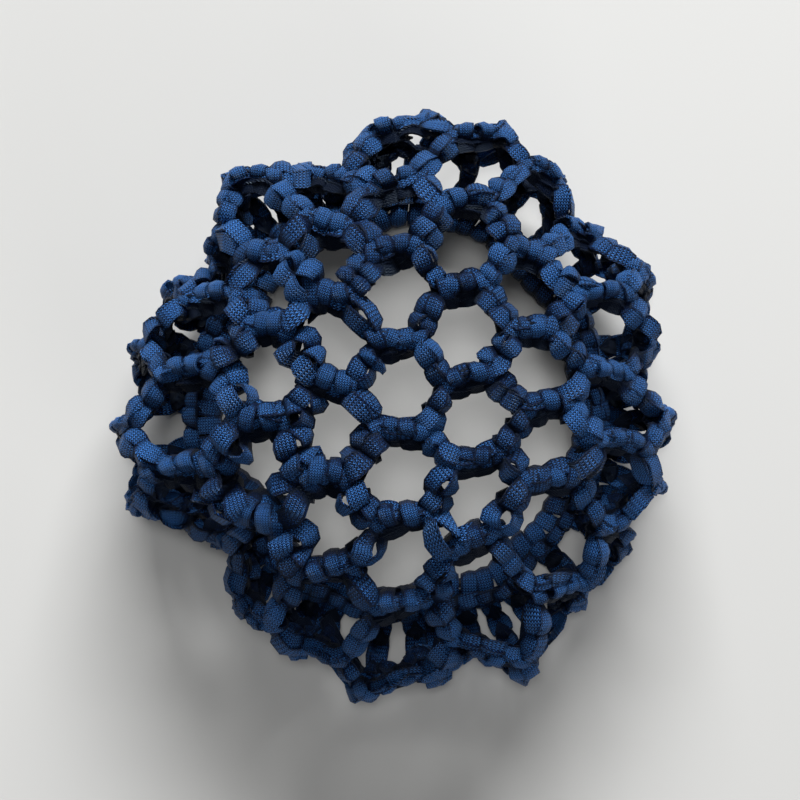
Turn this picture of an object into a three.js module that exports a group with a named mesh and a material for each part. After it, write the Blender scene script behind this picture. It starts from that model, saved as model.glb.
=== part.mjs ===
// A crocheted ribbon bun cover: an openwork cap of six-sided meshes in rings round its crown,
// which bulges over the bun and gathers into an edging worked over an elastic ring.
// Millimetres, +Z up, standing mouth down on z = 0 with its middle over the origin.

import * as THREE from 'three';
import { mergeVertices } from 'three/addons/utils/BufferGeometryUtils.js';

// Driving dimensions of the openwork
const MESH_SIDE = 9;            // one side of a six-sided mesh, middle of knot to middle of knot
const BAR_WIDTH = 5.2;          // the level bars, each of two fat stitches
const CHAIN_WIDTH = 4.4;        // the slanted sides, each of two chain stitches
const WORK_DEPTH = 3.6;         // thickness of the work through the fabric
const EDGE_ROUNDING = 1;        // rounding of the strands' edges
const CORNER_CUT = 1.3;         // rounding of the corners of the gaps
const SEAT_GAP = 0.4;           // between one ring's legs and the ring that they grip
const RING_NAMES = ['centre_ring', 'crown_ring_1', 'crown_ring_2', 'side_ring_3', 'side_ring_4'];

// How the rings go from the six-sided plan of the crown to the round plan of the mouth
const ROUND_FROM = 30;          // corner distance at which the rings start to round off
const ROUND_FULL = 58;          // and at which they are circles
const ROUND_SHARE = 0.955;      // a circle's radius for each unit of corner distance

// Driving dimensions of the mouth
const MOUTH_RADIUS = 36.5;      // middle of the edging
const EDGING_WIDTH = 6;
const EDGING_HEIGHT = 6.4;
const EDGING_CHAMFER = 1.2;
const GROOVE_HEIGHT = 2.6;      // the channel that the elastic runs in, open towards the bun
const GROOVE_DEPTH = 3.6;
const ELASTIC_RADIUS = 0.95;
const MOUTH_STEPS = 72;
const ELASTIC_SIDES = 8;
const MOUTH_REACH = 79;         // distance over the fabric from the crown to the edging

// The cap's middle surface from crown to mouth: distance over the fabric, the radius and height there,
// and the share of the folds that shows there
const MERIDIAN = [
  { reach: 0, radius: 0, height: 36, fold: 0 },
  { reach: 12, radius: 12, height: 35.7, fold: 0 },
  { reach: 24, radius: 23.7, height: 34.2, fold: 0.05 },
  { reach: 34, radius: 32.6, height: 31, fold: 0.2 },
  { reach: 44, radius: 41.8, height: 25.6, fold: 0.6 },
  { reach: 53, radius: 48.3, height: 18.8, fold: 0.95 },
  { reach: 60, radius: 50.2, height: 12.4, fold: 1 },
  { reach: 66, radius: 48.1, height: 7.6, fold: 0.9 },
  { reach: 72, radius: 44.2, height: 4.6, fold: 0.55 },
  { reach: MOUTH_REACH, radius: MOUTH_RADIUS + EDGING_WIDTH / 2 + SEAT_GAP, height: 3.6, fold: 0.4 },
];

// The folds of the sides, counterclockwise from +X in degrees: how far out the middle surface reaches at
// its widest, and how much higher or lower it hangs there
const FOLDS = [
  { angle: 8, reach: 47.3, lift: 0 },
  { angle: 18, reach: 50.6, lift: 0.5 },
  { angle: 30, reach: 52.3, lift: 1.5 },
  { angle: 44, reach: 48.8, lift: -1 },
  { angle: 62, reach: 54.3, lift: 1 },
  { angle: 80, reach: 54.2, lift: 3 },
  { angle: 93, reach: 52.7, lift: 1.5 },
  { angle: 105, reach: 45.5, lift: -1 },
  { angle: 123, reach: 52.5, lift: 2 },
  { angle: 133, reach: 49, lift: 0.5 },
  { angle: 144, reach: 42.9, lift: -1.5 },
  { angle: 155, reach: 47.6, lift: -0.5 },
  { angle: 168, reach: 49.4, lift: 0 },
  { angle: 179, reach: 50.6, lift: 0.5 },
  { angle: 192, reach: 54, lift: 1.5 },
  { angle: 200, reach: 52.6, lift: 1 },
  { angle: 208, reach: 47.3, lift: 0 },
  { angle: 219, reach: 40.9, lift: -1 },
  { angle: 238, reach: 50.5, lift: 0.5 },
  { angle: 251, reach: 49.7, lift: 0.5 },
  { angle: 264, reach: 55, lift: 0 },
  { angle: 284, reach: 51, lift: -1 },
  { angle: 299, reach: 56.3, lift: 1.5 },
  { angle: 310, reach: 50.3, lift: 0 },
  { angle: 321, reach: 51.2, lift: -0.5 },
  { angle: 334, reach: 49, lift: -1 },
  { angle: 350, reach: 52.2, lift: 1 },
];
const MEAN_REACH = FOLDS.reduce((sum, row) => sum + row.reach, 0) / FOLDS.length;

// Places where the hand-worked meshes are drawn out of the even honeycomb, in the flat
const PULLS = [
  { x: 40, y: 9, dx: -3.6, dy: 5.4, spread: 35 },
  { x: 30, y: -30, dx: 4.7, dy: 8.3, spread: 26 },
  { x: -37, y: 7, dx: 4.6, dy: 7.2, spread: 28 },
  { x: 22, y: -32, dx: -5.2, dy: 1.1, spread: 11 },
  { x: 10, y: 26, dx: -0.4, dy: 4.2, spread: 14.5 },
];

const DOWN_TO_UP = Math.PI / 2;
const SIXTH = Math.PI / 3;
const MESH_WIDTH = Math.sqrt(3) * MESH_SIDE;

// Small helpers on tables and flat lines

// A smooth curve through one column of a table, read at a place in another column
function readTable(rows, keyColumn, column, at) {
  const last = rows.length - 2;
  let i = 0;
  while (i < last && at > rows[i + 1][keyColumn]) {
    i += 1;
  }
  const key = (n) => rows[THREE.MathUtils.clamp(n, 0, rows.length - 1)][keyColumn];
  const value = (n) => rows[THREE.MathUtils.clamp(n, 0, rows.length - 1)][column];
  const span = key(i + 1) - key(i);
  const slope = (n) => (value(n + 1) - value(n - 1)) / (key(n + 1) - key(n - 1));
  const t = (at - key(i)) / span;
  const rise = value(i + 1) - value(i);
  const startBend = slope(i) * span - rise;
  const endBend = rise - slope(i + 1) * span;
  return value(i) + t * rise + t * (1 - t) * ((1 - t) * startBend + t * endBend);
}

// The folds' table, repeated on both sides so that it can be read across 360 degrees
const FOLDS_AROUND = [-360, 0, 360].flatMap((turn) => FOLDS.map((row) => ({ ...row, angle: row.angle + turn })));

function foldAt(turnAngle) {
  const degrees = THREE.MathUtils.euclideanModulo(THREE.MathUtils.radToDeg(turnAngle), 360);
  return {
    spread: readTable(FOLDS_AROUND, 'angle', 'reach', degrees) / MEAN_REACH - 1,
    lift: readTable(FOLDS_AROUND, 'angle', 'lift', degrees),
  };
}

// A line in the flat, parallel to a -> b and shifted to the right of that direction
function shiftedLine(a, b, shift) {
  const along = b.clone().sub(a).normalize();
  return { point: new THREE.Vector2(a.x + along.y * shift, a.y - along.x * shift), along };
}

function crossing(first, second) {
  const between = second.point.clone().sub(first.point);
  const t = between.cross(second.along) / first.along.cross(second.along);
  return first.point.clone().addScaledVector(first.along, t);
}

// The fabric's shape

// Where a point at this distance and angle over the fabric lies in space
function onMiddleSurface(reach, angle) {
  const share = readTable(MERIDIAN, 'reach', 'fold', reach);
  const fold = foldAt(angle);
  const radius = readTable(MERIDIAN, 'reach', 'radius', reach) * (1 + share * fold.spread);
  const edgeShare = share * THREE.MathUtils.smoothstep(MOUTH_REACH - reach, 0, MOUTH_REACH / 4);
  const height = readTable(MERIDIAN, 'reach', 'height', reach) + edgeShare * fold.lift;
  return new THREE.Vector3(radius * Math.cos(angle), radius * Math.sin(angle), height);
}

// Moves a flat point (x, y) with its thickness z onto the cap
function bendOntoCap(point) {
  const step = 0.2;
  const reach = Math.max(Math.hypot(point.x, point.y), step * 2);
  const angle = Math.atan2(point.y, point.x);
  const turn = step / reach;
  const outward = onMiddleSurface(reach + step, angle).sub(onMiddleSurface(reach - step, angle));
  const around = onMiddleSurface(reach, angle + turn).sub(onMiddleSurface(reach, angle - turn));
  const normal = outward.cross(around).normalize();
  return onMiddleSurface(reach, angle).addScaledVector(normal, point.z);
}

// How much the fabric is gathered round the cap at this distance from the crown
function gatherAt(reach) {
  return reach > 1 ? readTable(MERIDIAN, 'reach', 'radius', reach) / reach : 1;
}

// The six-sided lattice, drawn into circles towards the mouth and pulled by hand
function inTheFlat(point) {
  const angle = point.angle();
  const side = Math.round(angle / SIXTH) * SIXTH;
  const corner = point.length() * Math.cos(angle - side) / Math.cos(SIXTH / 2);
  const even = side + Math.tan(angle - side) / Math.tan(SIXTH / 2) * SIXTH / 2;
  const share = THREE.MathUtils.smoothstep(corner, ROUND_FROM, ROUND_FULL);
  const reach = THREE.MathUtils.lerp(point.length(), corner * ROUND_SHARE, share);
  const turned = THREE.MathUtils.lerp(angle, even, share);
  const flat = new THREE.Vector2(reach * Math.cos(turned), reach * Math.sin(turned));
  const pulled = flat.clone();
  for (const pull of PULLS) {
    const away = Math.hypot(flat.x - pull.x, flat.y - pull.y) / pull.spread;
    const strength = Math.exp(-away * away);
    pulled.x += pull.dx * strength;
    pulled.y += pull.dy * strength;
  }
  return pulled;
}

// The honeycomb

const SIDE_STEPS = [[1, 0], [0, 1], [-1, 1], [-1, 0], [0, -1], [1, -1]];

const ringOf = (q, r) => Math.max(Math.abs(q), Math.abs(r), Math.abs(q + r));

function meshCorner(q, r, i) {
  const x = 1.5 * MESH_SIDE * q + MESH_SIDE * Math.cos(SIXTH * i);
  const y = MESH_WIDTH * (r + q / 2) + MESH_SIDE * Math.sin(SIXTH * i);
  return new THREE.Vector2(x, y);
}

// The meshes of one ring, counterclockwise from the one at 30 degrees
function meshesOfRing(ring) {
  if (ring === 0) {
    return [[0, 0]];
  }
  const meshes = [];
  let [q, r] = [ring, 0];
  for (let side = 0; side < 6; side += 1) {
    const [dq, dr] = SIDE_STEPS[(side + 2) % 6];
    for (let step = 0; step < ring; step += 1) {
      meshes.push([q, r]);
      q += dq;
      r += dr;
    }
  }
  return meshes;
}

// The zigzag round a ring's outer side: each knot's place, the side that leaves it and whether it points out
function outerZigzag(ring) {
  const knots = [];
  for (const [q, r] of meshesOfRing(ring)) {
    const isOuter = SIDE_STEPS.map(([dq, dr]) => ringOf(q + dq, r + dr) > ring);
    const first = ring === 0 ? 0 : isOuter.findIndex((outer, i) => outer && !isOuter[(i + 5) % 6]);
    const count = isOuter.filter(Boolean).length;
    for (let n = 0; n < count; n += 1) {
      const i = (first + n) % 6;
      knots.push({
        lattice: meshCorner(q, r, i),
        place: inTheFlat(meshCorner(q, r, i)),
        width: i % 3 === 1 ? BAR_WIDTH : CHAIN_WIDTH,
        pointsOut: ring === 0 || n > 0,
      });
    }
  }
  return knots;
}

// Half a strand's width in the flat, larger where the fabric is gathered afterwards
function flatHalf(a, b, width) {
  const middle = a.clone().add(b).divideScalar(2);
  const across = new THREE.Vector2(b.y - a.y, a.x - b.x).normalize();
  const inwardShare = across.dot(middle) / middle.length();
  const aroundShare = across.cross(middle) / middle.length() / gatherAt(middle.length());
  return width / 2 * Math.hypot(inwardShare, aroundShare);
}

// The side that leaves knot i of a zigzag, shifted outward (+1) or inward (-1) to the strand's edge
function strandEdge(zigzag, i, outward, clearance = 0) {
  const knot = zigzag[(i + zigzag.length) % zigzag.length];
  const next = zigzag[(i + 1) % zigzag.length];
  const half = flatHalf(knot.place, next.place, knot.width) + clearance;
  return shiftedLine(knot.place, next.place, outward * half);
}

function nearestKnot(zigzag, lattice) {
  const distances = zigzag.map((knot) => knot.lattice.distanceTo(lattice));
  return distances.indexOf(Math.min(...distances));
}

// The leg that runs from an inward knot to the ring inside, and grips it with a notched end
function legOutline(zigzag, i, innerZigzag) {
  const root = zigzag[i];
  const j = nearestKnot(innerZigzag, root.lattice);
  const grip = innerZigzag[j].place;
  const isBar = Math.abs(root.lattice.y - innerZigzag[j].lattice.y) < MESH_SIDE / 4;
  const half = flatHalf(root.place, grip, isBar ? BAR_WIDTH : CHAIN_WIDTH);
  const clearance = SEAT_GAP / gatherAt(grip.length());
  const before = shiftedLine(root.place, grip, -half);
  const after = shiftedLine(root.place, grip, half);
  const gripBefore = strandEdge(innerZigzag, j + innerZigzag.length - 1, 1, clearance);
  const gripAfter = strandEdge(innerZigzag, j, 1, clearance);
  return [
    { at: crossing(strandEdge(zigzag, i + zigzag.length - 1, -1), before), cut: true },
    { at: crossing(before, gripBefore), cut: false },
    { at: crossing(gripBefore, gripAfter), cut: false },
    { at: crossing(gripAfter, after), cut: false },
    { at: crossing(after, strandEdge(zigzag, i, -1)), cut: true },
  ];
}

function innerOutline(zigzag, innerZigzag) {
  return zigzag.flatMap((knot, i) => {
    if (knot.pointsOut) {
      const before = strandEdge(zigzag, i + zigzag.length - 1, -1);
      return [{ at: crossing(before, strandEdge(zigzag, i, -1)), cut: true }];
    }
    return legOutline(zigzag, i, innerZigzag);
  });
}

// The leg that runs out from the last ring to the edging
function mouthLegOutline(zigzag, i) {
  const root = zigzag[i].place;
  const foot = root.clone().setLength(MOUTH_REACH);
  const half = flatHalf(root, foot, CHAIN_WIDTH);
  const before = shiftedLine(root, foot, half);
  const after = shiftedLine(root, foot, -half);
  const end = shiftedLine(foot, foot.clone().add(new THREE.Vector2(-foot.y, foot.x)), 0);
  return [
    { at: crossing(strandEdge(zigzag, i + zigzag.length - 1, 1), before), cut: true },
    { at: crossing(before, end), cut: false },
    { at: crossing(end, after), cut: false },
    { at: crossing(after, strandEdge(zigzag, i, 1)), cut: true },
  ];
}

function outerOutline(zigzag, meetsEdging) {
  return zigzag.flatMap((knot, i) => {
    if (meetsEdging && knot.pointsOut) {
      return mouthLegOutline(zigzag, i);
    }
    const before = strandEdge(zigzag, i + zigzag.length - 1, 1);
    return [{ at: crossing(before, strandEdge(zigzag, i, 1)), cut: true }];
  });
}

// An outline with its marked corners cut off, so that gaps and knots are rounded
function roundedOutline(outline) {
  return outline.flatMap((corner, i) => {
    if (!corner.cut) {
      return [corner.at];
    }
    const neighbours = [outline.at(i - 1).at, outline[(i + 1) % outline.length].at];
    return neighbours.map((other) => {
      const away = other.clone().sub(corner.at);
      return corner.at.clone().add(away.setLength(Math.min(CORNER_CUT, away.length() * 0.4)));
    });
  });
}

// One ring of meshes: a pierced band of strands, cut flat, given its thickness and bent onto the cap
function ringGeometry(ring) {
  const zigzag = outerZigzag(ring);
  const innerZigzag = ring === 0 ? [] : outerZigzag(ring - 1);
  const shape = new THREE.Shape(roundedOutline(outerOutline(zigzag, ring === RING_NAMES.length - 1)));
  shape.holes.push(new THREE.Path(roundedOutline(innerOutline(zigzag, innerZigzag))));
  const flat = new THREE.ExtrudeGeometry(shape, {
    depth: WORK_DEPTH - 2 * EDGE_ROUNDING,
    steps: 1,
    curveSegments: 1,
    bevelEnabled: true,
    bevelSegments: 1,
    bevelThickness: EDGE_ROUNDING,
    bevelSize: EDGE_ROUNDING,
    bevelOffset: -EDGE_ROUNDING,
  });
  flat.translate(0, 0, EDGE_ROUNDING - WORK_DEPTH / 2);
  return mappedSolid(flat, bendOntoCap);
}

// A closed geometry with shared corners, each moved by a function
function mappedSolid(geometry, move) {
  geometry.deleteAttribute('normal');
  geometry.deleteAttribute('uv');
  const merged = mergeVertices(geometry, 1e-4);
  const places = merged.getAttribute('position');
  const point = new THREE.Vector3();
  for (let i = 0; i < places.count; i += 1) {
    point.fromBufferAttribute(places, i);
    const moved = move(point);
    places.setXYZ(i, moved.x, moved.y, moved.z);
  }
  merged.computeVertexNormals();
  return merged;
}

// The mouth

// Draws a round ring into the gentle waves of the gathered mouth
function waveLikeMouth(point) {
  const share = MERIDIAN.at(-1).fold;
  const stretch = 1 + share * foldAt(Math.atan2(point.y, point.x)).spread;
  return new THREE.Vector3(point.x * stretch, point.y * stretch, point.z);
}

// The edging's section as [inward to outward, height] pairs, with its channel towards the middle
function edgingSection() {
  const inner = MOUTH_RADIUS - EDGING_WIDTH / 2;
  const outer = MOUTH_RADIUS + EDGING_WIDTH / 2;
  const grooveLow = (EDGING_HEIGHT - GROOVE_HEIGHT) / 2;
  const grooveHigh = grooveLow + GROOVE_HEIGHT;
  return [
    [inner + EDGING_CHAMFER, 0],
    [outer - EDGING_CHAMFER, 0],
    [outer, EDGING_CHAMFER],
    [outer, EDGING_HEIGHT - EDGING_CHAMFER],
    [outer - EDGING_CHAMFER, EDGING_HEIGHT],
    [inner + EDGING_CHAMFER, EDGING_HEIGHT],
    [inner, EDGING_HEIGHT - EDGING_CHAMFER],
    [inner, grooveHigh],
    [inner + GROOVE_DEPTH, grooveHigh],
    [inner + GROOVE_DEPTH, grooveLow],
    [inner, grooveLow],
    [inner, EDGING_CHAMFER],
    [inner + EDGING_CHAMFER, 0],
  ].map(([radius, height]) => new THREE.Vector2(radius, height));
}

function edgingGeometry() {
  const turned = new THREE.LatheGeometry(edgingSection(), MOUTH_STEPS);
  turned.rotateX(DOWN_TO_UP);
  return mappedSolid(turned, waveLikeMouth);
}

// The elastic lies in the back of the edging's channel
function elasticGeometry() {
  const clearance = (GROOVE_HEIGHT - 2 * ELASTIC_RADIUS) / 2;
  const radius = MOUTH_RADIUS - EDGING_WIDTH / 2 + GROOVE_DEPTH - ELASTIC_RADIUS - clearance;
  const ring = new THREE.TorusGeometry(radius, ELASTIC_RADIUS, ELASTIC_SIDES, MOUTH_STEPS);
  ring.translate(0, 0, EDGING_HEIGHT / 2);
  return mappedSolid(ring, waveLikeMouth);
}

// The bun cover

const navyRibbon = { color: 0x1a2942, roughness: 0.62, metalness: 0 };
const darkElastic = { color: 0x11151f, roughness: 0.8, metalness: 0 };

function piece(name, geometry, finish) {
  const mesh = new THREE.Mesh(geometry, new THREE.MeshStandardMaterial(finish));
  mesh.name = name;
  return mesh;
}

const bunCover = new THREE.Group();
RING_NAMES.forEach((name, ring) => bunCover.add(piece(name, ringGeometry(ring), navyRibbon)));
bunCover.add(piece('mouth_edging', edgingGeometry(), navyRibbon));
bunCover.add(piece('mouth_elastic', elasticGeometry(), darkElastic));

// The folds reach further to some sides, so the whole is moved until its middle is over the origin
const extent = new THREE.Box3().setFromObject(bunCover, true);
bunCover.position.set(-(extent.min.x + extent.max.x) / 2, -(extent.min.y + extent.max.y) / 2, -extent.min.z);

export default bunCover;
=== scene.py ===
import math
import random

import bmesh
import bpy
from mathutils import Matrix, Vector


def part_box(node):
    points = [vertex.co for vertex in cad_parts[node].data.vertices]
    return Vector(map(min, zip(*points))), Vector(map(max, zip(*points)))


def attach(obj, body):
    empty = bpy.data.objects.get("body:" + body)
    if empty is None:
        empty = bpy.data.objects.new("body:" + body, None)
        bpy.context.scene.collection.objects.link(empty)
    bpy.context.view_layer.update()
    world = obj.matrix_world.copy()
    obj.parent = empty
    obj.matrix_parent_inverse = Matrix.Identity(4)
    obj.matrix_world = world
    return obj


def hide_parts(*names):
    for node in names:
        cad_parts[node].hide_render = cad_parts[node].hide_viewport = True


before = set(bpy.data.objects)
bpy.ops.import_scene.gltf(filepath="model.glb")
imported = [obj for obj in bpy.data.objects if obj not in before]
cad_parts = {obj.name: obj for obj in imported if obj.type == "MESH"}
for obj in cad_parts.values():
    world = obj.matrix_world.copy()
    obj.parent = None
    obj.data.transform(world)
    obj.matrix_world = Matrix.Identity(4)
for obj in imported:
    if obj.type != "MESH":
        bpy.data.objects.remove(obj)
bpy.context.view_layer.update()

mm = 0.001
dice = random.Random(41)    # the same draws in every run

# The fabric, in millimetres: six-sided meshes in rings, bent over the cap and drawn in at the mouth
fabric = {
    "meshSide": 9.0,
    "roundFrom": 30.0,       # corner distance at which the rings start to round off
    "roundFull": 58.0,       # and at which they are round
    "roundShare": 0.955,     # radius of a round ring, as a share of its corner distance
    "mouthRadius": 36.5,     # to the middle of the edging
    "edgingHeight": 6.4,
    "mouthReach": 79.0,      # distance over the fabric from the crown to the edging
    "liftFade": 0.25,        # share of it, at the mouth, over which the lift of the folds fades out
    "mouthSteps": 72,        # points round the mouth that its box is worked out from
    "rings": ("centre_ring", "crown_ring_1", "crown_ring_2", "side_ring_3", "side_ring_4"),
    "ringGirths": (0.92, 1.03, 1.14, 0.92, 0.76),      # how full the stitches of each ring are
    "ringPaintedShades": (0.36, 0.50, 0.38, 0.17, -0.14),     # and how much painted shade darkens its ribbon, the last ring's negative value being painted light
    # distance over the fabric from the crown, radius, height, share of the folds
    "meridian": (
        (0, 0, 36, 0),
        (12, 12, 35.7, 0),
        (24, 23.7, 34.2, 0.05),
        (34, 32.6, 31, 0.2),
        (44, 41.8, 25.6, 0.6),
        (53, 48.3, 18.8, 0.95),
        (60, 50.2, 12.4, 1),
        (66, 48.1, 7.6, 0.9),
        (72, 44.2, 4.6, 0.55),
        (79, 39.9, 3.6, 0.4),
    ),
    # angle in degrees, how far out the sides reach there, how much higher they hang
    "folds": (
        (8, 47.3, 0),
        (18, 50.6, 0.5),
        (30, 52.3, 1.5),
        (44, 48.8, -1),
        (62, 54.3, 1),
        (80, 54.2, 3),
        (93, 52.7, 1.5),
        (105, 45.5, -1),
        (123, 52.5, 2),
        (133, 49, 0.5),
        (144, 42.9, -1.5),
        (155, 47.6, -0.5),
        (168, 49.4, 0),
        (179, 50.6, 0.5),
        (192, 54, 1.5),
        (200, 52.6, 1),
        (208, 47.3, 0),
        (219, 40.9, -1),
        (238, 50.5, 0.5),
        (251, 49.7, 0.5),
        (264, 55, 0),
        (284, 51, -1),
        (299, 56.3, 1.5),
        (310, 50.3, 0),
        (321, 51.2, -0.5),
        (334, 49, -1),
        (350, 52.2, 1),
    ),
    # place in the flat, how far it is pulled, how wide the pull is
    "pulls": (
        (40, 9, -3.6, 5.4, 35),
        (30, -30, 4.7, 8.3, 26),
        (-37, 7, 4.6, 7.2, 28),
        (22, -32, -5.2, 1.1, 11),
        (10, 26, -0.4, 4.2, 14.5),
    ),
}
sixth = math.pi / 3
columnStep = 1.5 * fabric["meshSide"]                  # from one column of meshes to the next
levelStep = math.sqrt(3) / 2 * fabric["meshSide"]      # half of a mesh's height
lastRing = len(fabric["rings"]) - 1


def readTable(rows, column, at):
    # a smooth curve through one column of a table, read at a place in its first column
    i = 0
    while i < len(rows) - 2 and at > rows[i + 1][0]:
        i += 1
    low, high = max(i - 1, 0), min(i + 2, len(rows) - 1)
    span = rows[i + 1][0] - rows[i][0]
    rise = rows[i + 1][column] - rows[i][column]
    startSlope = (rows[i + 1][column] - rows[low][column]) / (rows[i + 1][0] - rows[low][0])
    endSlope = (rows[high][column] - rows[i][column]) / (rows[high][0] - rows[i][0])
    t = (at - rows[i][0]) / span
    bend = (1 - t) * (startSlope * span - rise) + t * (rise - endSlope * span)
    return rows[i][column] + t * rise + t * (1 - t) * bend


def smoothStep(x, low, high):
    t = min(max((x - low) / (high - low), 0), 1)
    return t * t * (3 - 2 * t)


# the folds once more to each side, so that one smooth curve runs through the whole turn
foldsAround = [(row[0] + turn,) + row[1:] for turn in (-360, 0, 360) for row in fabric["folds"]]
meanReach = sum(row[1] for row in fabric["folds"]) / len(fabric["folds"])


def foldAt(angle):
    # how much further out than the mean the sides reach at an angle, and their lift
    degrees = math.degrees(angle) % 360
    return readTable(foldsAround, 1, degrees) / meanReach - 1, readTable(foldsAround, 2, degrees)


def onMiddleSurface(reach, angle):
    share = readTable(fabric["meridian"], 3, reach)
    spread, lift = foldAt(angle)
    radius = readTable(fabric["meridian"], 1, reach) * (1 + share * spread)
    fade = smoothStep(fabric["mouthReach"] - reach, 0, fabric["mouthReach"] * fabric["liftFade"])
    height = readTable(fabric["meridian"], 2, reach) + share * fade * lift
    return Vector((radius * math.cos(angle), radius * math.sin(angle), height))


def onCap(x, y):
    # the place of a flat point on the cap, and the direction out of the fabric there
    step = 0.2               # the slope is taken over this much to each side
    reach = max(math.hypot(x, y), step * 2)
    angle = math.atan2(y, x)
    outward = onMiddleSurface(reach + step, angle) - onMiddleSurface(reach - step, angle)
    around = onMiddleSurface(reach, angle + step / reach) - onMiddleSurface(reach, angle - step / reach)
    return onMiddleSurface(reach, angle), outward.cross(around).normalized()


def inTheFlat(x, y):
    # the six-sided lattice, drawn into circles towards the mouth and pulled by hand
    angle = math.atan2(y, x)
    length = math.hypot(x, y)
    side = round(angle / sixth) * sixth
    corner = length * math.cos(angle - side) / math.cos(sixth / 2)
    even = side + math.tan(angle - side) / math.tan(sixth / 2) * sixth / 2
    share = smoothStep(corner, fabric["roundFrom"], fabric["roundFull"])
    reach = length + share * (corner * fabric["roundShare"] - length)
    turned = angle + share * (even - angle)
    flatX, flatY = reach * math.cos(turned), reach * math.sin(turned)
    pulledX, pulledY = flatX, flatY
    for pullX, pullY, dx, dy, spread in fabric["pulls"]:
        strength = math.exp(-((flatX - pullX) ** 2 + (flatY - pullY) ** 2) / spread ** 2)
        pulledX += dx * strength
        pulledY += dy * strength
    return pulledX, pulledY


def mouthPoint(radius, angle, height):
    # a point on a ring of the gently waved mouth
    stretch = 1 + fabric["meridian"][-1][3] * foldAt(angle)[0]
    return Vector((radius * stretch * math.cos(angle), radius * stretch * math.sin(angle), height))


# The cover stands with its middle over the origin, so the fabric's own middle is moved as its solids are
def middleShift():
    elasticLow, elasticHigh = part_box("mouth_elastic")
    ringSteps = fabric["mouthSteps"]
    ring = [mouthPoint(1, 2 * math.pi * i / ringSteps, 0) for i in range(ringSteps)]
    lows = [min(point[k] for point in ring) for k in (0, 1)]
    highs = [max(point[k] for point in ring) for k in (0, 1)]
    radii = [(elasticHigh[k] - elasticLow[k]) / (highs[k] - lows[k]) for k in (0, 1)]
    radius = sum(radii) / 2 / mm
    middle = [(elasticLow[k] + elasticHigh[k]) / 2 / mm for k in (0, 1)]
    shiftX, shiftY = (middle[k] - radius * (highs[k] + lows[k]) / 2 for k in (0, 1))
    return Vector((shiftX, shiftY, 0))


shift = middleShift()
print("fabric laid out, middle moved by", [round(v, 2) for v in shift], "mm")


# Where the net is worked fuller, or thinner: place on the cap, extra girth of the stitches, how wide
fullPlaces = (
    (-18, -12, 0.65, 13),
    (-2, 32, 0.15, 10),
    (-15, 13, 0.3, 13),
    (0, -24, 0.2, 9),
    (-30, -14, 0.55, 9),
    (0, -17, 0.12, 12),
    (-30, 12, 0.25, 14),
    (22, -22, 0.2, 12),
    (-14, 27, 0.35, 8),
    (-20, -21, 0.2, 6),
    (20, 42, -0.3, 8),
    (-21, 21, -0.3, 6),
    (28, -23, -0.25, 7),
    (-4, -47, -0.25, 7),
    (6, 47, -0.25, 7),
)


def fullnessAt(place):
    return 1 + sum(extra * math.exp(-((place.x - x) ** 2 + (place.y - y) ** 2) / spread ** 2)
                   for x, y, extra, spread in fullPlaces)


class Strand:
    # a line over the fabric: its places, the way out of the fabric, and its length up to each place
    def __init__(self, places, outs, marks=(), closed=False):
        self.places, self.outs, self.closed = places, outs, closed
        self.lengths = [0.0]
        for here, there in zip(places, places[1:]):
            self.lengths.append(self.lengths[-1] + (there - here).length)
        self.total = self.lengths[-1]
        self.marks = [self.lengths[mark] for mark in marks]

    def at(self, distance):
        # the place at a distance along the line, and the ways along it, sideways and out
        if self.closed:
            distance %= self.total
        low, high = 0, len(self.lengths) - 1
        while high - low > 1:
            middle = (low + high) // 2
            if self.lengths[middle] > distance:
                high = middle
            else:
                low = middle
        span = self.lengths[high] - self.lengths[low]
        t = (distance - self.lengths[low]) / span
        before, after = max(low - 1, 0), min(high + 1, len(self.places) - 1)
        startAlong = self.places[high] - self.places[before]
        endAlong = self.places[after] - self.places[low]
        along = startAlong.lerp(endAlong, min(max(t, 0), 1)).normalized()
        place = self.places[low].lerp(self.places[high], t)
        out = self.outs[low].lerp(self.outs[high], min(max(t, 0), 1))
        out = (out - along * out.dot(along)).normalized()
        return place, along, out.cross(along), out


# How a strand is laid between its knots
laying = {
    "step": 0.5,             # millimetres between the points of a line
    "softening": 5,          # rounds of smoothing at the corners
    "wander": 0.45,          # how far a strand strays from its line
    "wanderLength": 17.0,    # of one wave of it
    "crossWaves": 1.3,       # waves along y for each one along x
    "rise": 0.35,            # and how far it rises and sinks
    "riseWaves": 1.7,
}


def layStrand(corners, toFlat):
    # a strand through corners of the lattice, softened and strayed, with a mark at each corner
    points, marks = [], [0]
    for (x0, y0), (x1, y1) in zip(corners, corners[1:]):
        count = max(2, round(math.hypot(x1 - x0, y1 - y0) / laying["step"]))
        points += [(x0 + (x1 - x0) * i / count, y0 + (y1 - y0) * i / count) for i in range(count)]
        marks.append(len(points))
    points.append(corners[-1])
    for _ in range(laying["softening"]):
        inner = [((a[0] + b[0] + c[0]) / 3, (a[1] + b[1] + c[1]) / 3)
                 for a, b, c in zip(points, points[1:], points[2:])]
        points = [points[0]] + inner + [points[-1]]
    phases = [dice.uniform(0, 2 * math.pi) for _ in range(3)]
    places, outs = [], []
    for i, (x, y) in enumerate(points):
        turn = 2 * math.pi * i * laying["step"] / laying["wanderLength"]
        x += laying["wander"] * math.sin(turn + phases[0])
        y += laying["wander"] * math.sin(turn * laying["crossWaves"] + phases[1])
        place, out = onCap(*toFlat(x, y))
        rise = math.sin(turn * laying["riseWaves"] + phases[2])
        places.append(place + shift + out * laying["rise"] * rise)
        outs.append(out)
    return Strand(places, outs, marks)


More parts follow.
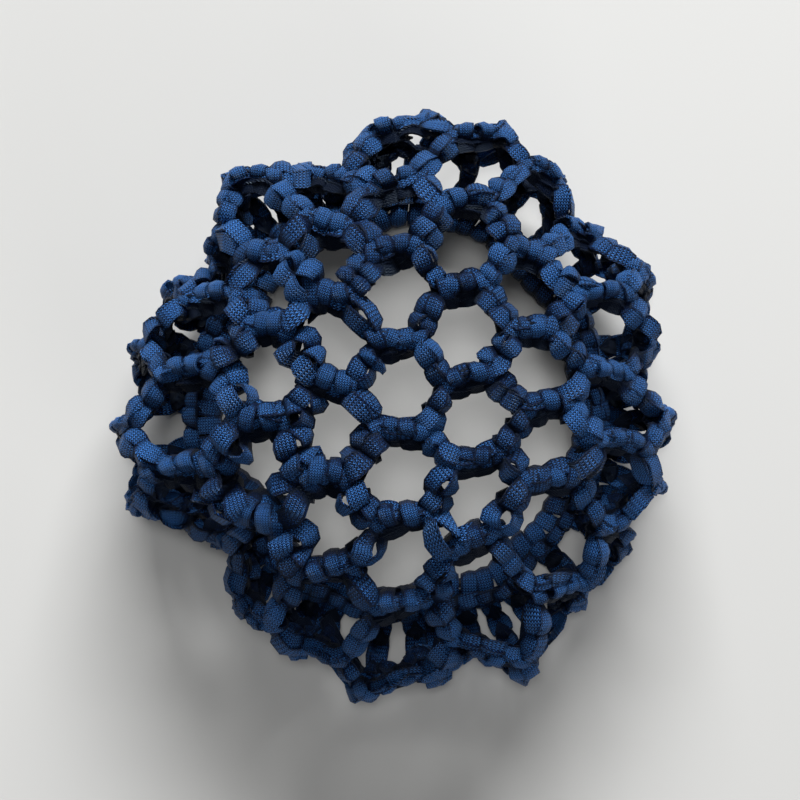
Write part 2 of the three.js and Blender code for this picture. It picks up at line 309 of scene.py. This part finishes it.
# The ribbon: a flat knitted tape with thin edges
ribbon = {
    "width": 3.3,
    "thickness": 0.44,
    # corners of its section, as shares of half its width and half its thickness
    "section": ((0.95, 1), (0, 1), (-0.95, 1), (-0.95, -1), (0, -1), (0.95, -1)),
    "crisp": (0, 2, 3, 5, 6),    # corners where the light breaks sharply, the last being the first again
    "curl": (-0.1, 0.5),     # how far its edges bend back, at least and at most
    "twist": 15.0,           # degrees that a band leans over, at most
    "easing": 1,             # rounds of evening out how a band turns over
    "course": 0.5,           # length of one knitted row
    "tones": 9,              # shades that the bands vary between
}


def sectionArcs():
    # how far round the section each corner is from the middle of the tape's edge, as a share of the way
    almostOne = 0.999        # at one the next tone would start
    corners = [(x * ribbon["width"], y * ribbon["thickness"]) for x, y in ribbon["section"]]
    corners.append(corners[0])
    lengths = [ribbon["thickness"]]
    for (x0, y0), (x1, y1) in zip(corners, corners[1:]):
        lengths.append(lengths[-1] + math.hypot(x1 - x0, y1 - y0))
    return [min(length / (lengths[-1] - lengths[0]), almostOne) for length in lengths]


ribbonArcs = sectionArcs()


def addBand(bm, stops, curl, twist=0.0):
    # a closed band of ribbon through its stops: each a place, the way it faces, its width and its painted
    # shade
    count = len(stops)
    sides = len(ribbon["section"])
    half = 0.5               # half the grid's width
    made = bmesh.ops.create_grid(bm, x_segments=count, y_segments=sides, size=half, calc_uvs=True)
    uvLayer = bm.loops.layers.uv["UVMap"]
    length = sum((stops[i][0] - stops[i - 1][0]).length for i in range(count))
    courses = max(1, round(length / ribbon["course"]))
    tone = dice.randrange(ribbon["tones"])
    lean = math.radians(twist * dice.uniform(-1, 1))
    alongs = [(stops[(i + 1) % count][0] - stops[i - 1][0]).normalized() for i in range(count)]
    outs = [stop[1] for stop in stops]
    for _ in range(ribbon["easing"]):
        outs = [(out - along * out.dot(along)).normalized() for along, out in zip(alongs, outs)]
        outs = [outs[i - 1] + outs[i] * 2 + outs[(i + 1) % count] for i in range(count)]
    frames = []
    for (place, _, width, under), along, out in zip(stops, alongs, outs):
        out = (out - along * out.dot(along)).normalized()
        across = out.cross(along)
        leanedOut = out * math.cos(lean) + across * math.sin(lean)
        leanedAcross = across * math.cos(lean) - out * math.sin(lean)
        frames.append((place, leanedAcross, leanedOut, width, under))
    # painted shade of each stop, carried on the corners of the band
    paintedShadeLayer = bm.verts.layers.float["under"]
    corners = {vert: round((vert.co.y + half) * sides) for vert in made["verts"]}
    for vert, corner in corners.items():
        for edge in vert.link_edges:
            if corner in ribbon["crisp"] and corners[edge.other_vert(vert)] == corner:
                edge.smooth = False
    for vert, corner in corners.items():
        place, across, out, width, vert[paintedShadeLayer] = frames[round((vert.co.x + half) * count) % count]
        side, up = ribbon["section"][corner % sides]
        up = up * ribbon["thickness"] / 2 - curl * width * side ** 2
        vert.co = (place + across * side * width * ribbon["width"] / 2 + out * up) * mm
        for loop in vert.link_loops:
            loop[uvLayer].uv = (loop[uvLayer].uv[0] * courses, ribbonArcs[corner] + tone)


# One chain stitch, half of it. Each stop has its number, its place along the strand in stitches, sideways and
# out in millimetres, the ribbon's width as a share, and which way it faces (sideways, out, along)
chainStitch = {
    "steps": 8,              # stops in each half
    "pitch": 4.5,            # from one stitch to the next
    "route": (
        (0, 1.26, 0.0, 0.10, 0.80, 0.0, 1.0, 0.8),      # the tip, under the next stitch
        (1, 1.16, 0.75, 0.65, 0.85, 0.5, 1.0, 0.7),
        (2, 0.93, 1.24, 1.30, 0.98, 0.8, 1.0, 0.2),     # the shoulder
        (3, 0.64, 1.34, 1.72, 1.04, 0.7, 1.0, 0.0),
        (4, 0.34, 1.08, 1.80, 1.04, 0.5, 1.0, -0.1),    # the leg
        (5, 0.10, 0.72, 1.25, 0.95, 0.35, 1.0, -0.8),
        (6, -0.02, 0.55, 0.35, 0.80, 0.2, 0.2, -1.0),   # in through the stitch before
        (7, -0.02, 0.62, -0.55, 0.72, 0.3, -0.3, -1.0),
        (8, 0.20, 0.62, -1.15, 0.62, 0.4, -1.0, -0.3),
        (9, 0.45, 0.0, -1.35, 0.58, 0.0, -1.0, 0.0),    # the bump at the back
    ),
    "paintedShadeRange": (0.3, 1.8),   # how far out the ribbon gets full painted shade, for the shade of the others, and none
    "jitter": 0.10,          # how much stitches differ in place, pitch and girth
    "legJitter": 0.18,       # how much each leg of a stitch strays on its own
    "looseShare": 0.08,      # share of stitches that are drawn loose
    "looseGirth": 1.2,
    "roll": 16.0,            # degrees that a stitch is turned round its strand, at most
}


def addChainStitch(bm, strand, start, pitch, girth=1.0, raised=0.0, widthShare=1.0, turned=0.0, addedPaintedShade=0.0):
    jitter = chainStitch["jitter"]
    girth *= 1 + dice.uniform(-jitter, jitter)
    roll = math.radians(turned + dice.uniform(-1, 1) * chainStitch["roll"])
    start += pitch * dice.uniform(-jitter, jitter)
    pitch *= 1 + dice.uniform(-jitter, jitter)
    if dice.random() < chainStitch["looseShare"]:
        girth *= chainStitch["looseGirth"]
    full = fullnessAt(strand.at(start)[0])
    girth *= full
    widthShare *= (1 + full) / 2
    stray = chainStitch["legJitter"]
    lean = {hand: [1 + dice.uniform(-stray, stray) for _ in range(3)] for hand in (-1, 1)}
    route, count = chainStitch["route"], chainStitch["steps"]
    last, columns = len(route) - 1, range(1, len(route[0]))
    half = [[readTable(route, column, last * i / count) for column in columns] for i in range(count + 1)]
    whole = [(row, 1) for row in half] + [(row, -1) for row in half[-2:0:-1]]
    stops = []
    for (forward, sideways, outward, width, faceSide, faceOut, faceAlong), hand in whole:
        alongLean, sideLean, outLean = (1 + (lean[hand][k] - 1) * min(1, abs(sideways)) for k in range(3))
        place, along, side, out = strand.at(start + forward * pitch * alongLean)
        rolledSide = side * math.cos(roll) + out * math.sin(roll)
        rolledOut = out * math.cos(roll) - side * math.sin(roll)
        place = place + rolledSide * sideways * hand * girth * sideLean
        place = place + rolledOut * (outward * girth * outLean + raised)
        facing = rolledSide * faceSide * hand + rolledOut * faceOut + along * faceAlong
        # painted shade: darker the deeper the ribbon lies in the stitch, plus the stitch's own added painted
        # shade
        under = 1 - smoothStep(outward, *chainStitch["paintedShadeRange"]) + addedPaintedShade
        stops.append((place, facing, width * widthShare, under))
    addBand(bm, stops, dice.uniform(*ribbon["curl"]), ribbon["twist"])


# The wraps of ribbon round a bar: two at its middle, and one over the joint at each end
wrap = {
    "steps": 12,
    "squareness": 0.8,       # one is a round wrap, and less a squarer one
    "curl": 0.42,
    # where between back, -1, and front, 1, it gets full painted shade and none
    "paintedShadeRange": (0.05, 0.95),
    "reach": 1.6,            # from the bar's middle up and down the fabric
    "reachVaries": (0.93, 1.07),
    "depth": 2.4,            # and to its front and back
    "rise": 0.75,            # how far the two wraps sit above the bar's middle
    "apart": 1.72,           # half the distance between them
    "varies": (0.92, 1.1),   # by how much that and the depth vary, at least and at most
    "offCentre": 0.5,        # how far the two may lie off the bar's middle
    "slant": 0.5,
    "width": 0.93,
    "knotReach": 1.9,        # the wraps over the joints
    "knotDepth": 1.95,
    "knotVaries": (0.85, 1.1),
    "knotSlant": 1.2,
    "knotSlantVaries": (0.5, 1),
    "knotInside": 0.2,       # how far they lie in from the bar's ends
    "knotRise": 0.3,
    "knotWidth": 0.92,
}


def addWrap(bm, strand, middle, reach, depth, slant, widthShare, rise=0.0):
    full = fullnessAt(strand.at(middle)[0])
    stops = []
    for i in range(wrap["steps"]):
        turn = 2 * math.pi * i / wrap["steps"]
        onCircle = (math.sin(turn), math.cos(turn))
        up, front = (math.copysign(abs(share) ** wrap["squareness"], share) for share in onCircle)
        place, _, side, out = strand.at(middle + slant * up)
        place = place + (side * (up * reach + rise) + out * front * depth) * full
        facing = side * up * depth + out * front * reach
        # painted shade at the wrap's sides and back, none at its front
        stops.append((place, facing, widthShare, 1 - smoothStep(front, *wrap["paintedShadeRange"])))
    addBand(bm, stops, wrap["curl"])


def addMiddleWrap(bm, strand, centre, hand, girth):
    apart = wrap["apart"] * dice.uniform(*wrap["varies"])
    reach = wrap["reach"] * girth * dice.uniform(*wrap["reachVaries"])
    depth = wrap["depth"] * dice.uniform(*wrap["varies"])
    slant = wrap["slant"] * dice.uniform(-1, 1)
    addWrap(bm, strand, centre + hand * apart, reach, depth, slant, wrap["width"], wrap["rise"])


def addKnotWrap(bm, strand, hand, girth):
    end = strand.total / 2 + hand * (strand.total / 2 - wrap["knotInside"])
    reach = wrap["knotReach"] * girth * dice.uniform(*wrap["knotVaries"])
    depth = wrap["knotDepth"] * dice.uniform(*wrap["knotVaries"])
    slant = wrap["knotSlant"] * dice.choice((-1, 1)) * dice.uniform(*wrap["knotSlantVaries"])
    addWrap(bm, strand, end, reach, depth, slant, wrap["knotWidth"], wrap["knotRise"])


def ringOf(column, level):
    # the ring of the mesh whose middle is at this column and level
    q, r = column, (level - column) // 2
    return max(abs(q), abs(r), abs(q + r))


def barRing(column, level):
    # the inner ring of the two meshes above and below a bar
    return min(ringOf(column, level + 1), ringOf(column, level - 1))


def slantRing(column, leftLevel, rightLevel):
    # the inner ring of the two meshes beside a slant, which joins the bars of two columns
    return min(ringOf(column, rightLevel), ringOf(column + 1, leftLevel))


# The rows of chain stitches zigzag over the meshes. Each bar holds two: the foot of the row above it and the
# apex of the row below
rows = {
    "footRise": 0.9,         # how far up the fabric from the bar's middle the foot lies
    "footRaised": 0.3,       # and how far out of it
    "footGirth": 0.58,
    "apexDrop": 1.05,        # how far down the fabric the apex lies
    "apexSunk": 1.2,         # and how far into it
    "apexPaintedShade": 1.3,        # and how much painted shade darkens it for that
    "apexGirth": 0.62,
    "slantGirth": 1.14,
    "slantTurn": 32.0,       # degrees that a slant's chain may be turned round itself
    "widthFollows": 0.2,     # how far the ribbon's width follows the girth of its stitches
}


def rowRuns(row):
    # the unbroken runs of one row's zigzag, as lists of (ring, corner, corner, kind)
    half = fabric["meshSide"] / 2
    runs, run = [], []
    for column in range(-lastRing - 2, lastRing + 3):
        isFoot = (row - column) % 2 == 1
        level = row if isFoot else row + 1
        nextLevel = row + 1 if isFoot else row
        bend = rows["footRise"] if isFoot else -rows["apexDrop"]
        nextBend = -rows["apexDrop"] if isFoot else rows["footRise"]
        left = (columnStep * column - half, levelStep * level + bend)
        right = (columnStep * column + half, levelStep * level + bend)
        nextLeft = (columnStep * (column + 1) - half, levelStep * nextLevel + nextBend)
        for ring, start, end, kind in (
            (barRing(column, level), left, right, "foot" if isFoot else "apex"),
            (slantRing(column, level, nextLevel), right, nextLeft, "slant"),
        ):
            if ring <= lastRing:
                run.append((ring, start, end, kind))
            elif run:
                runs.append(run)
                run = []
    return [run for run in runs if any(piece[3] == "slant" for piece in run)]


def addRow(stitches, row, run):
    raises = {"slant": 0.0, "foot": rows["footRaised"], "apex": -rows["apexSunk"]}
    follows = rows["widthFollows"]
    isWorkedBack = row % 2 == 1
    if isWorkedBack:
        run = [(ring, end, start, kind) for ring, start, end, kind in reversed(run)]
    strand = layStrand([run[0][1]] + [piece[2] for piece in run], inTheFlat)
    for (ring, _, _, kind), start, end in zip(run, strand.marks, strand.marks[1:]):
        count = max(1, round((end - start) / chainStitch["pitch"]))
        pitch = (end - start) / count
        girth = rows[kind + "Girth"] * fabric["ringGirths"][ring]
        width = 1 - follows + follows * girth
        # painted shade for the apex chain, which lies deeper in the fabric
        addedPaintedShade = rows["apexPaintedShade"] if kind == "apex" else 0.0
        turned = rows["slantTurn"] * dice.uniform(-1, 1) if kind == "slant" else 0.0
        for i in range(count):
            place = start + i * pitch
            addChainStitch(stitches[ring], strand, place, pitch, girth, raises[kind], width, turned, addedPaintedShade)


def addBars(stitches):
    half = fabric["meshSide"] / 2
    for column in range(-lastRing - 1, lastRing + 2):
        for level in range(-2 * lastRing - 2, 2 * lastRing + 3):
            if (level - column) % 2 == 0 or barRing(column, level) > lastRing:
                continue
            x, y = columnStep * column, levelStep * level
            strand = layStrand([(x - half, y), (x + half, y)], inTheFlat)
            centre = strand.total / 2 + dice.uniform(-wrap["offCentre"], wrap["offCentre"])
            ring = barRing(column, level)
            girth = fabric["ringGirths"][ring]
            for hand in (-1, 1):
                addMiddleWrap(stitches[ring], strand, centre, hand, girth)
                addKnotWrap(stitches[ring], strand, hand, girth)


# The legs that run from the last ring's outward knots down to the edging
legs = {
    "overlap": 1.5,          # how far they start inside the ring
    "intoEdging": 1.0,       # and end inside the edging
    "girth": 0.78,
    "addedPaintedShade": 0.35,           # painted shade that darkens them, for the shade inside the fold of the sides
    # angle and half-width in degrees where only the corners that stand out have a leg
    "airy": ((66, 14), (84, 9), (31, 12), (264, 12), (187, 8), (317, 12), (140, 8)),
}


def outerKnots():
    # the joints on the last ring's outer line, as flat places
    neighbours = ((1, 1), (0, 2), (-1, 1), (-1, -1), (0, -2), (1, -1))     # steps of column and level
    knots = {}
    side = fabric["meshSide"]
    for column in range(-lastRing, lastRing + 1):
        for level in range(-2 * lastRing, 2 * lastRing + 1):
            if (level - column) % 2 or ringOf(column, level) != lastRing:
                continue
            outer = [ringOf(column + dc, level + dl) > lastRing for dc, dl in neighbours]
            for i in range(len(neighbours)):
                x = columnStep * column + side * math.cos(sixth * i)
                y = levelStep * level + side * math.sin(sixth * i)
                angle = math.degrees(math.atan2(y, x)) % 360
                airy = any(abs(angle - middle) < half for middle, half in legs["airy"])
                if outer[i] and outer[i - 1] or (outer[i] or outer[i - 1]) and not airy:
                    knots[(round(x), round(y))] = inTheFlat(x, y)
    return knots.values()


def addLegs(bm):
    for x, y in outerKnots():
        length = math.hypot(x, y)
        start = (length - legs["overlap"]) / length
        end = (fabric["mouthReach"] + legs["intoEdging"]) / length
        corners = [(x * start, y * start), (x * end, y * end)]
        strand = layStrand(corners, lambda flatX, flatY: (flatX, flatY))
        count = max(1, round(strand.total / chainStitch["pitch"]))
        pitch = strand.total / count
        for i in range(count):
            addChainStitch(bm, strand, i * pitch, pitch, legs["girth"], addedPaintedShade=legs["addedPaintedShade"])


# The edging: ribbon wrapped close round the elastic, with a chain along its outer top
edging = {
    "steps": 240,            # places round each of its lines
    "wraps": 68,
    "wrapReach": 2.55,
    "reachVaries": (0.95, 1.08),
    "wrapDepth": 2.72,
    "depthVaries": (0.96, 1.0),
    "wrapWidth": 1.05,
    "strays": 0.3,           # how far a wrap may lie off its place
    "slant": 0.5,
    "chainRadius": 39.0,
    "chainHeight": 5.5,
    "chainTilt": 45.0,       # degrees above level that the chain faces
    "chainGirth": 0.72,
    "chainWidth": 0.85,
    "pressed": 0.6,          # ribbon this near the floor is pressed flat on it
    "addedPaintedShade": 0.4,            # painted shade that darkens it against the rest, for the shade of the lowest, inner layer
}


def mouthStrand(radius, height, tilt):
    # a closed line round the mouth, facing out at a tilt in degrees above level
    level, up = math.cos(math.radians(tilt)), math.sin(math.radians(tilt))
    places, outs = [], []
    for i in range(edging["steps"] + 1):
        angle = 2 * math.pi * i / edging["steps"]
        places.append(mouthPoint(radius, angle, height) + shift)
        outs.append(Vector((math.cos(angle) * level, math.sin(angle) * level, up)))
    return Strand(places, outs, closed=True)


def addEdging(bm):
    straightUp = 90.0
    middle = mouthStrand(fabric["mouthRadius"], fabric["edgingHeight"] / 2, straightUp)
    step = middle.total / edging["wraps"]
    for i in range(edging["wraps"]):
        reach = edging["wrapReach"] * dice.uniform(*edging["reachVaries"])
        depth = edging["wrapDepth"] * dice.uniform(*edging["depthVaries"])
        place = i * step + dice.uniform(-edging["strays"], edging["strays"])
        slant = dice.uniform(-edging["slant"], edging["slant"])
        addWrap(bm, middle, place, reach, depth, slant, edging["wrapWidth"])
    top = mouthStrand(edging["chainRadius"], edging["chainHeight"], edging["chainTilt"])
    step = top.total / edging["wraps"]
    for i in range(edging["wraps"]):
        addChainStitch(bm, top, i * step, step, edging["chainGirth"], widthShare=edging["chainWidth"])


# Shader maths written as expressions
class Value:
    def __init__(self, bench, socket):
        self.bench, self.socket = bench, socket

    def maths(self, operation, first, second):
        return self.bench.make("ShaderNodeMath", {"operation": operation}, {0: first, 1: second})

    def __add__(self, other):
        return self.maths("ADD", self, other)

    def __sub__(self, other):
        return self.maths("SUBTRACT", self, other)

    def __rsub__(self, other):
        return self.maths("SUBTRACT", other, self)

    def __mul__(self, other):
        return self.maths("MULTIPLY", self, other)

    __radd__ = __add__
    __rmul__ = __mul__


class Bench:
    # one material's nodes
    def __init__(self, name):
        self.material = bpy.data.materials.new(name)
        self.material.use_nodes = True
        self.tree = self.material.node_tree
        self.shader = self.tree.nodes["Principled BSDF"]

    def make(self, kind, settings=None, values=None, output=0):
        node = self.tree.nodes.new(kind)
        for key, setting in (settings or {}).items():
            if key == "stops":
                ramp = node.color_ramp
                while len(ramp.elements) < len(setting):
                    ramp.elements.new(0.5)
                for element, (position, colour) in zip(ramp.elements, setting):
                    element.position, element.color = position, colour
            else:
                setattr(node, key, setting)
        for key, value in (values or {}).items():
            self.feed(node.inputs[key], value)
        return Value(self, node.outputs[output])

    def smoothRange(self, value, low, high, start, end):
        # from start to end, smoothly, as the value goes from low to high
        values = {"Value": value, "From Min": low, "From Max": high, "To Min": start, "To Max": end}
        return self.make("ShaderNodeMapRange", {"interpolation_type": "SMOOTHSTEP"}, values)

    def noise(self, scale, detail):
        place = self.make("ShaderNodeTexCoord", None, None, "Object")
        return self.make("ShaderNodeTexNoise", None, {"Vector": place, "Scale": scale, "Detail": detail})

    def ramp(self, value, stops):
        return self.make("ShaderNodeValToRGB", {"stops": stops}, {"Fac": value})

    def feed(self, socket, value):
        if isinstance(value, Value):
            self.tree.links.new(value.socket, socket)
        else:
            socket.default_value = value

    def finish(self, **values):
        for key, value in values.items():
            self.feed(self.shader.inputs[key.replace("_", " ")], value)
        return self.material


# The ribbon's finish: navy knitted tape with a silky face, and the painted shade laid over it
ribbonFinishAndPaintedShade = {
    "deep": (0.0004, 0.0024, 0.012, 1),
    "face": (0.0012, 0.0155, 0.098, 1),
    "lit": (0.046, 0.188, 0.540, 1),
    "tones": (0.14, 0.5, 0.91),  # tones at which the ribbon has these colours
    "knitTone": 1.4,         # how much each of these adds to the tone: the knitted loops,
    "cloudTone": 0.3,        # soft patches,
    "bandTone": 0.55,        # what sets one band off from the next,
    "speckAndGlintTone": 0.9,        # and the grain of the yarn, with painted glints of single stitches
    "toneDrop": 0.72,        # taken off all of it
    "edgePaintedShadeWidth": 0.13,       # share of the way round the tape that the painted shade at its edges takes
    "edgePaintedShade": 0.55,       # how much painted shade darkens the tape at its edges
    "paintedShadeStrength": 1.0,       # and how much painted shade darkens it where it lies under other tape
    "wales": 14.0,           # knitted columns round the tape
    "slope": 0.9,            # how far the rows slant in each column, in rows
    "groove": 0.16,          # share of a column that its groove takes, on each side
    "knitHeight": 0.00028,
    "cloudScale": 160.0,
    "speckAndGlintScale": 1900.0,
    "roughness": 0.46,       # in the middle of its range
    "roughnessVaries": 0.2,
    "sheen": 0.02,
    "sheenRoughness": 0.4,
    "sheenTint": (0.45, 0.62, 1.0, 1),
    "specular": 0.21,
    "glint": (0.60, 0.80, 1.0, 1),
}


def ribbonMaterial():
    bench = Bench("navyRibbon")
    look = ribbonFinishAndPaintedShade
    uv = bench.make("ShaderNodeUVMap", {"uv_map": "UVMap"})
    u = bench.make("ShaderNodeSeparateXYZ", None, {"Vector": uv}, "X")
    v = bench.make("ShaderNodeSeparateXYZ", None, {"Vector": uv}, "Y")
    band = bench.make("ShaderNodeMath", {"operation": "FLOOR"}, {0: v}) * (1 / ribbon["tones"])
    wale = bench.make("ShaderNodeMath", {"operation": "PINGPONG"}, {0: v * look["wales"], 1: 0.5})
    course = u + wale * look["slope"] * 2
    loop = bench.make("ShaderNodeMath", {"operation": "SINE"}, {0: course * (2 * math.pi)}) * 0.5 + 0.5
    knit = loop * bench.smoothRange(wale, 0.0, look["groove"], 0.0, 1.0)
    cloud = bench.noise(look["cloudScale"], detail=3.0)
    # grain of the yarn, which also stands as painted glints of single stitches
    speckAndGlint = bench.noise(look["speckAndGlintScale"], detail=1.0)
    quarter = 0.25           # of the way round, from the tape's edge to the middle of its face
    fromEdge = bench.make("ShaderNodeMath", {"operation": "PINGPONG"}, {0: v, 1: quarter})
    # painted shade: a dark line at the tape's edges, for the shade in the gaps between tapes
    edge = bench.smoothRange(fromEdge, 0.0, look["edgePaintedShadeWidth"], 1.0, 0.0)
    # painted shade from the stitches, darker where ribbon lies under other ribbon
    under = bench.make("ShaderNodeAttribute", {"attribute_name": "under"}, None, "Fac")
    tone = knit * look["knitTone"] + cloud * look["cloudTone"] + band * look["bandTone"]
    tone = tone + speckAndGlint * look["speckAndGlintTone"] - look["toneDrop"]
    # painted shade: darker at the tape's edges and where it lies under other tape
    tone = tone - edge * look["edgePaintedShade"] - under * look["paintedShadeStrength"]
    colour = bench.ramp(tone, list(zip(look["tones"], (look["deep"], look["face"], look["lit"]))))
    bumpValues = {"Strength": 1.0, "Distance": look["knitHeight"], "Height": knit}
    return bench.finish(
        Base_Color=colour,
        Roughness=cloud * look["roughnessVaries"] + (look["roughness"] - look["roughnessVaries"] / 2),
        Normal=bench.make("ShaderNodeBump", None, bumpValues),
        Sheen_Weight=look["sheen"],
        Sheen_Roughness=look["sheenRoughness"],
        Sheen_Tint=look["sheenTint"],
        Specular_IOR_Level=look["specular"],
        Specular_Tint=look["glint"],
    )


# The elastic's finish: dark covered rubber
elasticFinish = {
    "deep": (0.004, 0.005, 0.010, 1),
    "lit": (0.012, 0.015, 0.026, 1),
    "tones": (0.3, 0.7),
    "grainScale": 1400.0,
    "grainHeight": 0.0001,
    "grainStrength": 0.6,
    "roughness": 0.65,       # at its least
    "roughnessVaries": 0.2,
}


def elasticMaterial():
    bench = Bench("darkElastic")
    look = elasticFinish
    grain = bench.noise(look["grainScale"], detail=2.0)
    bumpValues = {"Strength": look["grainStrength"], "Distance": look["grainHeight"], "Height": grain}
    return bench.finish(
        Base_Color=bench.ramp(grain, list(zip(look["tones"], (look["deep"], look["lit"])))),
        Roughness=grain * look["roughnessVaries"] + look["roughness"],
        Normal=bench.make("ShaderNodeBump", None, bumpValues),
    )


def finishPiece(bm, node, material, addedPaintedShade):
    # a ring of stitches made into a piece that stands for its CAD node
    seam = 1e-6              # metres within which the two ends of a band are joined
    name = node + "_stitches"
    bmesh.ops.remove_doubles(bm, verts=bm.verts, dist=seam)
    bmesh.ops.recalc_face_normals(bm, faces=bm.faces)
    for face in bm.faces:
        face.smooth = True
    pressed = edging["pressed"] * mm
    paintedShadeLayer = bm.verts.layers.float["under"]
    for vert in bm.verts:
        # painted shade of the ring or of the edging, added to every vertex
        vert[paintedShadeLayer] += addedPaintedShade
        if vert.co.z < pressed:      # pressed flat, and never through the floor
            vert.co.z = pressed * math.exp(vert.co.z / pressed - 1)
    mesh = bpy.data.meshes.new(name)
    bm.to_mesh(mesh)
    bm.free()
    piece = bpy.data.objects.new(name, mesh)
    bpy.context.collection.objects.link(piece)
    mesh.materials.append(material)
    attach(piece, "root")
    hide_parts(node)
    print(name, "made of", len(mesh.polygons) * 2, "triangles")


def newPiece():
    bm = bmesh.new()
    bm.loops.layers.uv.new("UVMap")
    # painted shade on every vertex, darker where ribbon lies under other ribbon
    bm.verts.layers.float.new("under")
    return bm


# The net
stitches = [newPiece() for _ in fabric["rings"]]
for row in range(-2 * lastRing - 2, 2 * lastRing + 2):
    for run in rowRuns(row):
        addRow(stitches, row, run)
print("rows of chain stitches laid")
addBars(stitches)
print("bars wrapped")
addLegs(stitches[lastRing])
print("legs laid")
navyRibbon = ribbonMaterial()
# each ring gets its painted shade, or painted light where the value is negative
for bm, node, addedPaintedShade in zip(stitches, fabric["rings"], fabric["ringPaintedShades"]):
    finishPiece(bm, node, navyRibbon, addedPaintedShade)

edgingBand = newPiece()
addEdging(edgingBand)
# the edging with its painted shade
finishPiece(edgingBand, "mouth_edging", navyRibbon, edging["addedPaintedShade"])

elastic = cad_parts["mouth_elastic"]
elastic.data.materials.clear()
elastic.data.materials.append(elasticMaterial())
print("elastic finished")

# The floor, the light and the camera, in metres and watts
studio = {
    "cameraHeight": 0.40,
    "lens": 92.0,
    "clipStart": 0.01,
    "keyPlace": (0.15, 1.65, 0.85),
    "keySize": (1.4, 0.5),
    "keyPower": 85.0,
    "fillPlace": (-0.03, 0.15, 1.20),
    "fillSize": (0.2, 0.2),
    "fillPower": 3.4,
    "frontPlace": (0.9, -1.3, 0.45),
    "frontSize": (1.0, 0.5),
    "frontPower": 10.0,
    "skyColour": (1, 1, 1, 1),
    "skyStrength": 0.04,
    "floorColour": (0.54, 0.54, 0.53, 1),
    "floorRoughness": 0.85,
    "floorSize": 5.0,        # half its width, wide enough to hide its edge in low views
    "aim": (0.0012, 0.0015, 0.02),   # where the lights point, and the camera stands above
}


def addAreaLight(name, place, size, power):
    data = bpy.data.lights.new(name, "AREA")
    data.shape = "RECTANGLE"
    data.size, data.size_y = size
    data.energy = power
    lamp = bpy.data.objects.new(name, data)
    bpy.context.collection.objects.link(lamp)
    lamp.location = place
    lamp.rotation_euler = (Vector(studio["aim"]) - Vector(place)).to_track_quat("-Z", "Y").to_euler()


def addStudio():
    bm = bmesh.new()
    bmesh.ops.create_grid(bm, x_segments=1, y_segments=1, size=studio["floorSize"])
    mesh = bpy.data.meshes.new("floor")
    bm.to_mesh(mesh)
    bm.free()
    floor = bpy.data.objects.new("floor", mesh)
    bpy.context.collection.objects.link(floor)
    bench = Bench("paleFloor")
    mesh.materials.append(bench.finish(Base_Color=studio["floorColour"], Roughness=studio["floorRoughness"]))
    for light in ("key", "fill", "front"):
        place, size, power = (studio[light + part] for part in ("Place", "Size", "Power"))
        addAreaLight(light + "Light", place, size, power)
    world = bpy.data.worlds.new("studioSky")
    world.use_nodes = True
    background = world.node_tree.nodes["Background"]
    background.inputs["Color"].default_value = studio["skyColour"]
    background.inputs["Strength"].default_value = studio["skyStrength"]
    bpy.context.scene.world = world
    bpy.context.scene.view_settings.view_transform = "Standard"


def addCamera():
    camera = bpy.data.objects.new("camera", bpy.data.cameras.new("camera"))
    bpy.context.collection.objects.link(camera)
    camera.data.lens = studio["lens"]
    camera.data.clip_start = studio["clipStart"]
    aimX, aimY, _ = studio["aim"]
    camera.location = (aimX, aimY, studio["cameraHeight"])   # straight above, looking down on the crown
    bpy.context.scene.camera = camera


addStudio()
addCamera()
print("studio set")
